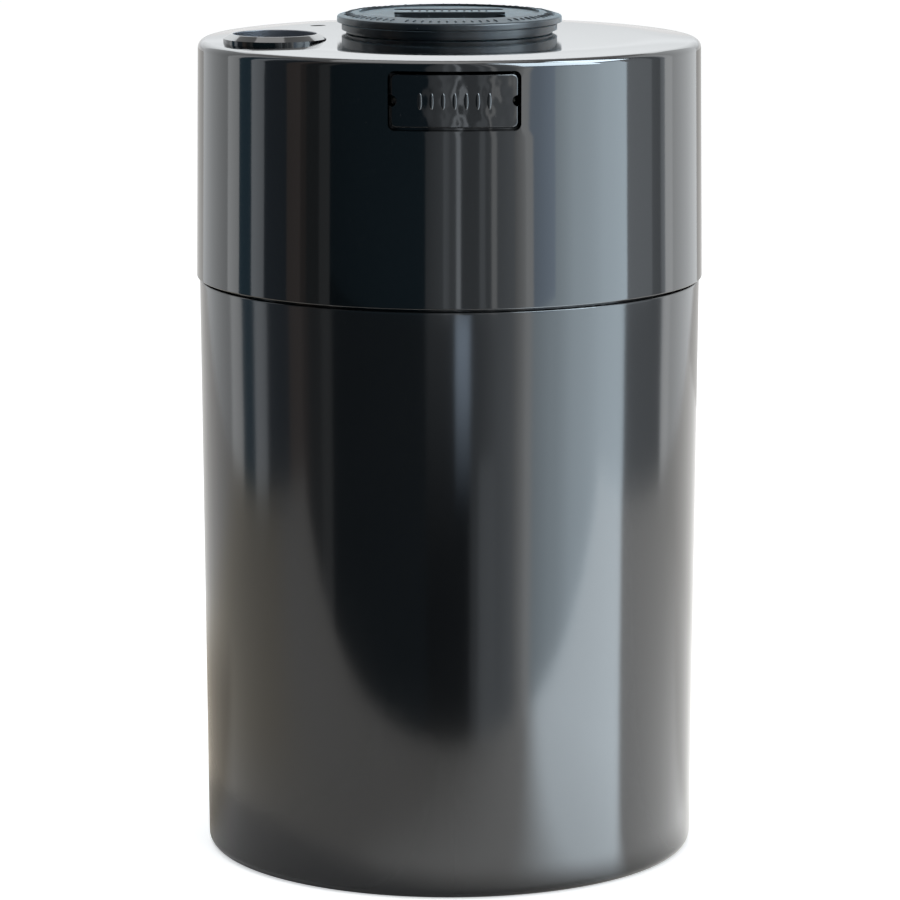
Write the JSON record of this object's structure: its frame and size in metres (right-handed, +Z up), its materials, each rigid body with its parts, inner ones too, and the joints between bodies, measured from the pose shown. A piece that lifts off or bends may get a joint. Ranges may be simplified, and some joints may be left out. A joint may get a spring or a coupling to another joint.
{
  "type": "vacuum seal canister",
  "caption": "Round vacuum storage canister: tapered gloss body, lift-off cap with a crowned deck, rubber vent plug, finger well and a front push button that lifts the air valve.",
  "frame": {"origin": "middle of the foot, on the plane that the canister stands on", "axes": "+Z up along the canister's axis, -Y towards the button at the front, +X to the right seen from the front"},
  "size_m": [0.12, 0.12, 0.2002],
  "materials": {
    "body_gloss": "black pearl, polished moulding with a softer gloss than the cap",
    "cap_gloss": "black pearl, mirror gloss",
    "button_gloss": "black pearl gloss with a slightly wavy face",
    "plug_rubber": "matte black moulded rubber",
    "seal_rubber": "dark grey silicone",
    "inner_plastic": "fine-textured black moulding",
    "acetal": "natural white acetal",
    "spring_steel": "drawn spring wire",
    "screw_steel": "zinc-plated steel"
  },
  "bodies": {
    "canister": {"body_shell": "body_gloss"},
    "seal": {"lip_seal": "seal_rubber"},
    "cap": {"cap_shell": "cap_gloss", "inner_lid": "inner_plastic", "right_guide_rail": "inner_plastic", "left_guide_rail": "inner_plastic", "rail_screws": "screw_steel", "valve_spring": "spring_steel", "button_spring": "spring_steel"},
    "button": {"push_button": "button_gloss", "lift_fork": "acetal"},
    "valve": {"vent_plug": "plug_rubber", "valve_stem": "acetal", "seat_seal": "seal_rubber", "stem_clip": "spring_steel"}
  },
  "joints": [
    {"name": "cap_lift", "type": "slide", "parent": "canister", "child": "seal", "axis": [0, 0, 1], "range_m": [0, 0.12]},
    {"name": "cap_turn", "type": "hinge", "parent": "seal", "child": "cap", "pos_m": [0, 0, 0.16], "axis": [0, 0, 1], "continuous": true},
    {"name": "button_press", "type": "slide", "parent": "cap", "child": "button", "axis": [0, 1, 0], "range_m": [0, 0.0045], "stiffness_N_per_m": 600, "springref_m": -0.004, "deforming": ["button_spring"]},
    {"name": "valve_lift", "type": "slide", "parent": "cap", "child": "valve", "axis": [0, 0, 1], "range_m": [0, 0.0018], "stiffness_N_per_m": 400, "springref_m": -0.003, "deforming": ["valve_spring"]}
  ],
  "couplings": [
    {"joint": "valve_lift", "follows": "button_press", "ratio": 0.4}
  ]
}
